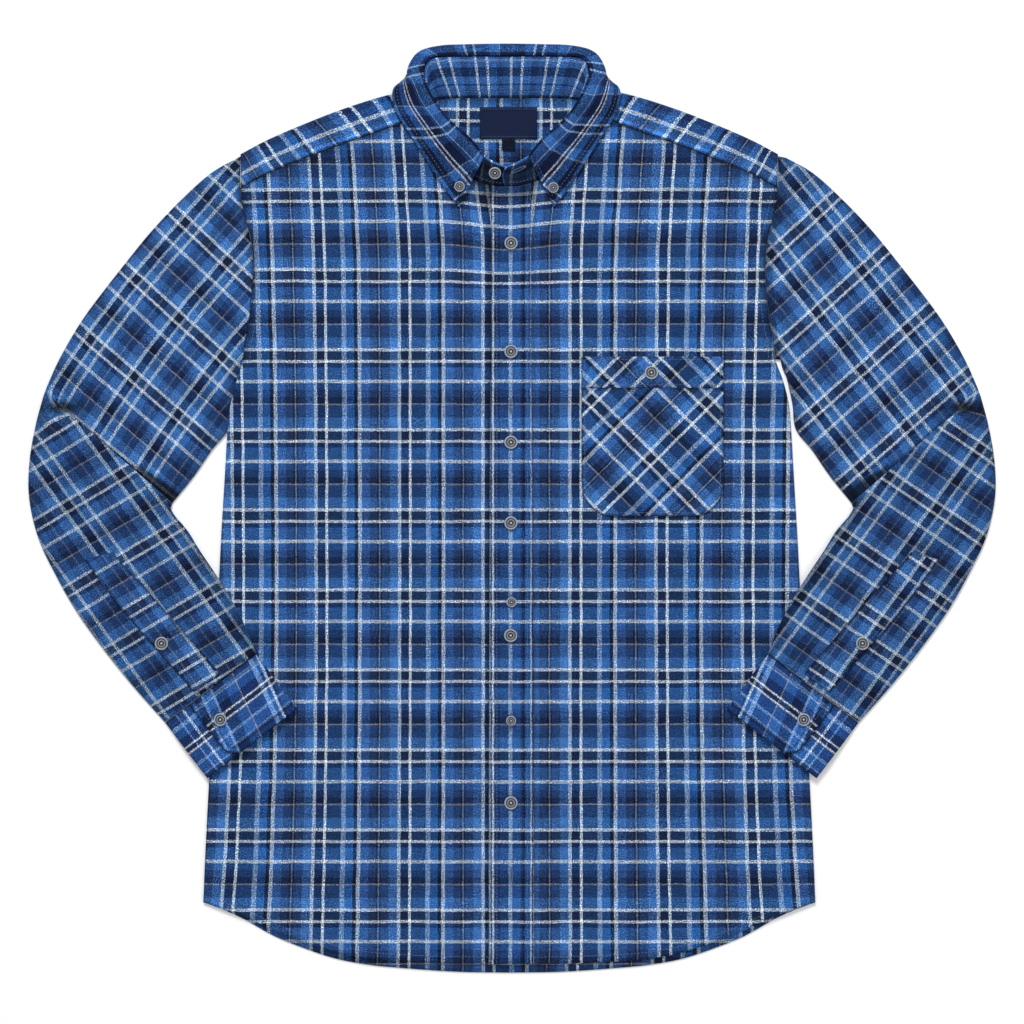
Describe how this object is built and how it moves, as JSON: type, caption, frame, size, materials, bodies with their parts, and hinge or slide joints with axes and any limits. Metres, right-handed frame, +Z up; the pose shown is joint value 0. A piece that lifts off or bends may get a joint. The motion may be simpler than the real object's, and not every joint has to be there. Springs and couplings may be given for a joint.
{
  "type": "flannel shirt",
  "caption": "Long-sleeved plaid flannel shirt laid flat with the front up, button-down collar, chest pocket, sleeves bent with the cuffs resting on the fronts.",
  "frame": {"origin": "middle of the shirt's footprint, on the surface that it lies on", "axes": "+Z up out of the front, +Y toward the collar, +X toward the wearer's left sleeve (right in the picture)"},
  "size_m": [0.8892, 0.8536, 0.0186],
  "materials": {
    "flannel": "brushed cotton flannel, blue plaid with navy, white and thin tan lines, soft nap, matt",
    "label_cloth": "plain navy woven satin",
    "tab_cloth": "plain off-white woven tape",
    "button_plastic": "grey-blue plastic with a raised polished rim and a dished centre"
  },
  "bodies": {
    "root": {"back": "flannel", "front_right": "flannel", "front_left": "flannel", "front_placket": "flannel", "yoke": "flannel", "collar_band": "flannel", "collar_leaf": "flannel", "pocket": "flannel", "pocket_band": "flannel", "sleeve_right": "flannel", "sleeve_left": "flannel", "cuff_right": "flannel", "cuff_left": "flannel", "sleeve_placket_right": "flannel", "sleeve_placket_left": "flannel", "label": "label_cloth", "size_tab": "tab_cloth", "button_front_1": "button_plastic", "button_front_2": "button_plastic", "button_front_3": "button_plastic", "button_front_4": "button_plastic", "button_front_5": "button_plastic", "button_front_6": "button_plastic", "button_front_7": "button_plastic", "button_front_8": "button_plastic", "button_band": "button_plastic", "button_collar_right": "button_plastic", "button_collar_left": "button_plastic", "button_pocket": "button_plastic", "button_gauntlet_right": "button_plastic", "button_gauntlet_left": "button_plastic", "button_cuff_right": "button_plastic", "button_cuff_left": "button_plastic"}
  },
  "joints": []
}
